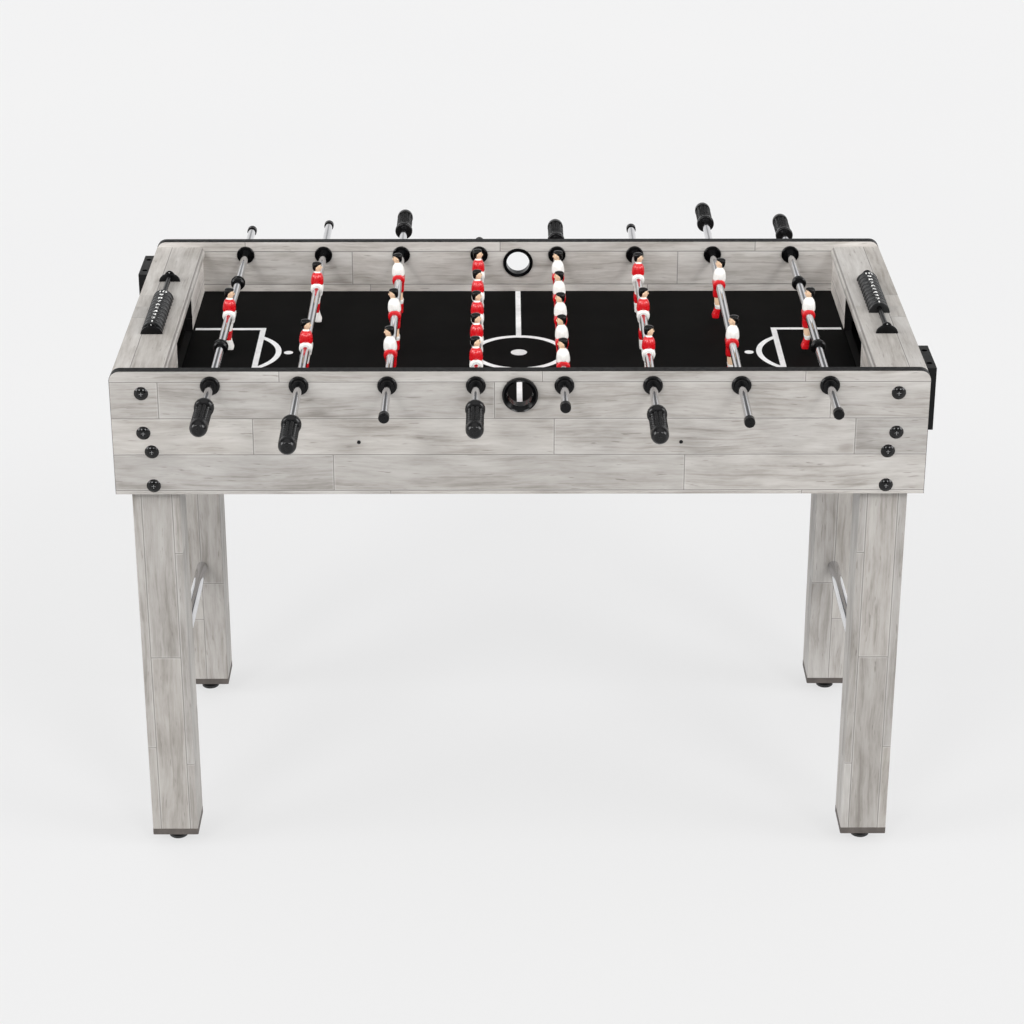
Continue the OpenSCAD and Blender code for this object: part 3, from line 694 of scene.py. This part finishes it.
def grip_mesh():
    """A grip along +Y from its tip at 0: domed end, waffled body, waist and collar."""
    mesh = bmesh.new()
    first, last, rows, flutes = 21.0, 75.0, 8, 11
    body_r, groove = 13.5, 3.1
    pitch = (last - first) / rows

    def waffle(y, angle, radius):
        if y < first or y > last:
            return radius
        across = abs((y - first) / pitch % 1 - 0.5) * 2
        around = abs(angle * flutes / (2 * math.pi) % 1 - 0.5) * 2
        valley = max(math.exp(-((1 - across) / 0.6) ** 2), math.exp(-((1 - around) / 0.45) ** 2))
        return radius - groove * valley

    # a small pip, the dome, a groove before the waffle, then the waist and the collar
    profile = [(0.0, 2.4), (0.3, 2.9), (1.5, 3.1), (1.7, 4.6)]
    for step in range(3, 10):
        angle = math.radians(step * 10)
        profile.append((12 - 12 * math.cos(angle), 1.5 + 11.6 * math.sin(angle)))
    profile += [(16.5, 13.3), (17.4, 13.3), (17.8, 12.4), (18.6, 12.4), (19.0, 13.3), (20.4, 13.4)]
    for step in range(rows * 8 + 1):
        profile.append((first + step * pitch / 8, body_r))
    profile += [(75.6, 13.2), (76.2, 12.2), (78.6, 11.2), (80.6, 11.0), (82.2, 11.4), (84.4, 13.4),
                (85.6, 14.5), (87.0, 14.75), (91.4, 14.75), (92.8, 14.3), (93.7, 13.2), (94.0, 11.6),
                (93.4, 9.4), (93.3, 6.6)]
    turned(mesh, 0, profile, flutes * 6, waffle)
    return save(mesh, "grip", [grip_plastic], sharp=50)


def rod_grips():
    data = grip_mesh()
    for index, men in enumerate(ROD_MEN):
        shift = Matrix.Translation((0, -GRIP_TIP[men] * MM, 0))
        made = piece(f"rod_{index + 1}_handle", data, f"rod_{index + 1}_spinner",
                     rod_place(index, False) @ shift)
        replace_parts(made, f"rod_{index + 1}_grip")


rod_grips()


# ---- bolts ----

PANEL_FACE = 305.0
# Bolts at the right end of a long panel: X, Z and length
BOLTS = ((562.5, 789.5, 38), (562.5, 726, 38), (551.5, 695.5, 96), (551.5, 640, 96))


def in_cross(x, z, arm, half_width):
    """How far out a point is in a cross of two bars: 1 on the cross's outline."""
    wide, tall = abs(x), abs(z)
    return min(max(wide / arm, tall / half_width), max(tall / arm, wide / half_width))


def bolt_head(mesh, x, z, side):
    """A domed bolt head on a long panel, with a cross recess in its middle and bare steel in it."""
    radius, height, recess = 10.7, 5.0, 1.9
    dome = (radius * radius + height * height) / (2 * height)
    first_face = len(mesh.faces)
    rings = []
    for r in (10.7, 10.6, 10.2, 9.4, 8.4, 7.2, 6.0, 5.2, 4.6, 4.1, 3.6, 3.1, 2.6, 2.1, 1.6, 1.1, 0.5):
        ring = []
        for i in range(48):
            angle = 2 * math.pi * i / 48
            px, pz = r * math.cos(angle), r * math.sin(angle)
            lift = math.sqrt(dome * dome - r * r) - (dome - height)
            sunk = recess * min(max((1 - in_cross(px, pz, 3.9, 1.1)) / 0.4, 0), 1)
            ring.append((x + px, side * (PANEL_FACE + lift - sunk), z + pz))
        rings.append(ring)
    rings.insert(0, [(px, side * PANEL_FACE, pz) for px, _, pz in rings[0]])
    add_faces(mesh, rings, 0)
    mesh.faces.ensure_lookup_table()
    for made in mesh.faces[first_face:]:
        middle = made.calc_center_median()
        if in_cross(middle.x - x, middle.z - z, 3.1, 0.8) < 1:
            made.material_index = 1


def bolt_shank(mesh, x, z, side, length):
    """A shank from inside the head to a tapered end in the board."""
    rings = []
    for depth in (-0.5, length - 1, length):
        r = 2.4 if depth == length else 3.0
        ring = []
        for i in range(24):
            angle = 2 * math.pi * i / 24
            ring.append((x + r * math.cos(angle), side * (PANEL_FACE - depth), z + r * math.sin(angle)))
        rings.append(ring)
    add_faces(mesh, rings, 0)


def bolts():
    mesh = bmesh.new()
    for side in (-1, 1):
        for end in (-1, 1):
            for x, z, length in BOLTS:
                bolt_head(mesh, end * x, z, side)
                bolt_shank(mesh, end * x, z, side, length)
    data = save(mesh, "cross_head_bolts", [bolt_black, worn_steel], sharp=50)
    made = piece("cross_head_bolts", data, "cabinet")
    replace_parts(made, "panel_bolts")


bolts()


# ---- scorers ----

RAIL_R = 4
RAIL_Z = BOARD_TOP / MM + 7
BEAD_LENGTH = 14.6
BEAD_PITCH = 15.0
BEAD_R = 16.5
BEAD_LIFT = 0.5
# How deep a bead's band is sunk between its rims
BAND_DEPTH = 0.9


def half_round(half_width, height, lift=0.0):
    """The outline of a half round section standing on the end board."""
    base = BOARD_TOP / MM + lift
    steps = 24
    points = []
    for i in range(steps + 1):
        angle = math.pi * i / steps
        points.append((half_width * math.cos(angle), base + height * math.sin(angle)))
    return points


def bore_ring(outline):
    """The edge of the rail's bore in a bead's face, with a point for each point of the outline."""
    bore = RAIL_R + 0.4
    points = []
    for x, y, z in outline:
        far = math.hypot(x, z - RAIL_Z)
        points.append((bore * x / far, y, RAIL_Z + bore * (z - RAIL_Z) / far))
    return points


def bead_mesh(mesh, y):
    """One bead: a bored half disc with a rim at each face and a sunk band between them."""
    half = [(0, 1.5), (0.25, 0.5), (0.8, 0), (2.4, 0), (3.0, BAND_DEPTH)]
    rings = []
    for step, inset in half + [(BEAD_LENGTH - step, inset) for step, inset in reversed(half)]:
        r = BEAD_R - inset
        outline = half_round(r, r, lift=BEAD_LIFT)
        base = outline[0][1]
        outline += [(r * k / 4, base) for k in range(-3, 4)]
        rings.append([(x, y + step, z) for x, z in outline])
    first, last = bore_ring(rings[0]), bore_ring(rings[-1])
    add_faces(mesh, [first] + rings + [last, first], 0, closed=False)
    bmesh.ops.remove_doubles(mesh, verts=mesh.verts, dist=0.0001)


def digit_mesh(text):
    """A printed number as a flat mesh around its middle."""
    curve = bpy.data.curves.new("number", "FONT")
    curve.body = text
    curve.size = 14.5
    curve.align_x = "CENTER"
    curve.align_y = "CENTER"
    curve.offset = 0.22
    letters = bpy.data.objects.new("number", curve)
    bpy.context.scene.collection.objects.link(letters)
    data = bpy.data.meshes.new_from_object(letters)
    bpy.data.objects.remove(letters)
    bpy.data.curves.remove(curve)
    return data


def add_number(mesh, text, centre_y):
    """Lays a number over a bead's round band, reading from the front."""
    data = digit_mesh(text)
    number = bmesh.new()
    number.from_mesh(data)
    bpy.data.meshes.remove(data)
    long_edges = [edge for edge in number.edges if edge.calc_length() > 1.6]
    bmesh.ops.subdivide_edges(number, edges=long_edges, cuts=3, use_grid_fill=False)
    bmesh.ops.triangulate(number, faces=number.faces)
    band_r = BEAD_R - BAND_DEPTH
    squeeze = 0.92
    pairs = {}
    for vertex in number.verts:
        x, y = vertex.co.x, vertex.co.y * squeeze + centre_y
        z = BOARD_TOP / MM + BEAD_LIFT + math.sqrt(max(band_r ** 2 - x ** 2, 1))
        pairs[vertex] = (mesh.verts.new((x, y, z + 0.1)), mesh.verts.new((x, y, z - 0.25)))
    for face in number.faces:
        mesh.faces.new([pairs[v][0] for v in face.verts]).material_index = 1
        mesh.faces.new([pairs[v][1] for v in reversed(face.verts)]).material_index = 1
    for edge in number.edges:
        if len(edge.link_faces) == 1:
            a, b = edge.verts
            side = (pairs[a][0], pairs[b][0], pairs[b][1], pairs[a][1])
            mesh.faces.new(side).material_index = 1
    number.free()


def score_beads(side):
    node = f"{side}_score_beads"
    low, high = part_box(node)
    mesh = bmesh.new()
    for i in range(10):
        y = low.y / MM + i * BEAD_PITCH
        bead_mesh(mesh, y)
        add_number(mesh, str(i + 1), y + BEAD_LENGTH / 2)
    data = save(mesh, node, [scorer_plastic, white_print], sharp=30)
    x = (low.x + high.x) / 2
    made = piece(f"{side}_numbered_beads", data, f"{side}_beads",
                 Matrix.Translation((x, 0, 0)))
    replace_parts(made, node)


def scorer_frame(side):
    """Two end brackets, each a low arch with a taller boss against it, and the rail between."""
    beads_low, beads_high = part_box(f"{side}_score_beads")
    x = (beads_low.x + beads_high.x) / 2
    low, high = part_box("scorer_frames")
    bracket = 8
    mesh = bmesh.new()
    for y in (low.y / MM, high.y / MM - bracket):
        prism(mesh, 0, half_round(17, 13.5), y, y + 5, 0.9)
        prism(mesh, 0, half_round(10.5, 16.8), y + 3.4, y + bracket, 0.9)
        ball(mesh, 1, (0, y + 4.2, BOARD_TOP / MM + 14.2), (1.6, 1.6, 1.0))
    rail = bmesh.new()
    turned(rail, 0, [(low.y / MM + 2, RAIL_R), (high.y / MM - 2, RAIL_R)], 24)
    for vertex in rail.verts:
        vertex.co.z += RAIL_Z
    part = bpy.data.meshes.new("rail")
    rail.to_mesh(part)
    rail.free()
    mesh.from_mesh(part)
    bpy.data.meshes.remove(part)
    data = save(mesh, f"{side}_scorer_frame", [black_plastic, zinc], sharp=35)
    return piece(f"{side}_scorer_frame", data, "cabinet",
                 Matrix.Translation((x, 0, 0)))


for table_end in ("left", "right"):
    score_beads(table_end)
    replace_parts(scorer_frame(table_end), "scorer_frames")


# ---- studio ----

def studio():
    """A pale floor that glows a little, a banded white room and five soft lamps."""
    paint = Paint("studio_floor")
    cloud = paint.noise(paint.place, 0.6, 2.0)
    pale = paint.ramp(cloud, [(0.3, srgb(108, 108, 109)), (0.7, srgb(111, 111, 111))])
    white = srgb(255, 255, 255)
    paint.set(base_color=pale, roughness=0.55, emission_color=white, emission_strength=0.645)
    half_floor = 30
    mesh = bmesh.new()
    bmesh.ops.create_grid(mesh, x_segments=24, y_segments=24, size=half_floor / MM)
    floor = bpy.data.objects.new("floor", save(mesh, "floor", [paint.material]))
    bpy.context.scene.collection.objects.link(floor)

    world = bpy.data.worlds.new("studio")
    world.use_nodes = True
    nodes, links = world.node_tree.nodes, world.node_tree.links
    parts = nodes.new("ShaderNodeSeparateXYZ")
    links.new(nodes.new("ShaderNodeTexCoord").outputs["Generated"], parts.inputs[0])
    sky = nodes.new("ShaderNodeValToRGB")
    links.new(parts.outputs["Z"], sky.inputs[0])
    links.new(sky.outputs[0], nodes["Background"].inputs["Color"])
    # brightness by height: a pale ground, a dim band that shows in the chrome, and a soft sky
    bands = [(0.0, 0.86), (0.28, 0.86), (0.36, 0.13), (0.50, 0.17), (0.62, 0.40), (1.0, 0.46)]
    while len(sky.color_ramp.elements) < len(bands):
        sky.color_ramp.elements.new(0.5)
    for element, (height, bright) in zip(sky.color_ramp.elements, bands):
        element.position = height
        element.color = (bright, bright, bright, 1)
    bpy.context.scene.world = world
    bpy.context.scene.view_settings.view_transform = "Standard"

    # soft lights: name, strength, apparent size and the direction they come from in degrees
    for name, strength, size, azimuth, elevation in (
            ("front_left", 0.88, 16, -30, 36), ("front_right", 0.88, 16, 30, 36),
            ("left", 1.6, 30, -74, 26), ("right", 1.6, 30, 74, 26), ("top", 0.55, 70, 0, 80)):
        light = bpy.data.lights.new(name, "SUN")
        light.energy = strength
        light.angle = math.radians(size)
        lamp = bpy.data.objects.new(name, light)
        bpy.context.scene.collection.objects.link(lamp)
        a, e = math.radians(azimuth), math.radians(elevation)
        towards = Vector((math.sin(a) * math.cos(e), -math.cos(a) * math.cos(e), math.sin(e)))
        lamp.rotation_mode = "QUATERNION"
        lamp.rotation_quaternion = towards.to_track_quat("Z", "Y")


def camera():
    """The photograph's own angle: in front, 24 degrees above the table, through a long lens."""
    lens = bpy.data.cameras.new("camera")
    lens.sensor_width = 36
    lens.lens = 92.8
    lens.shift_y = -0.041
    lens.clip_end = 200
    made = bpy.data.objects.new("camera", lens)
    bpy.context.scene.collection.objects.link(made)
    made.location = (-0.024, -3.940, 2.255)
    made.rotation_euler = (math.pi / 2 - 0.4123, 0, -0.0033)
    bpy.context.scene.camera = made


studio()
camera()
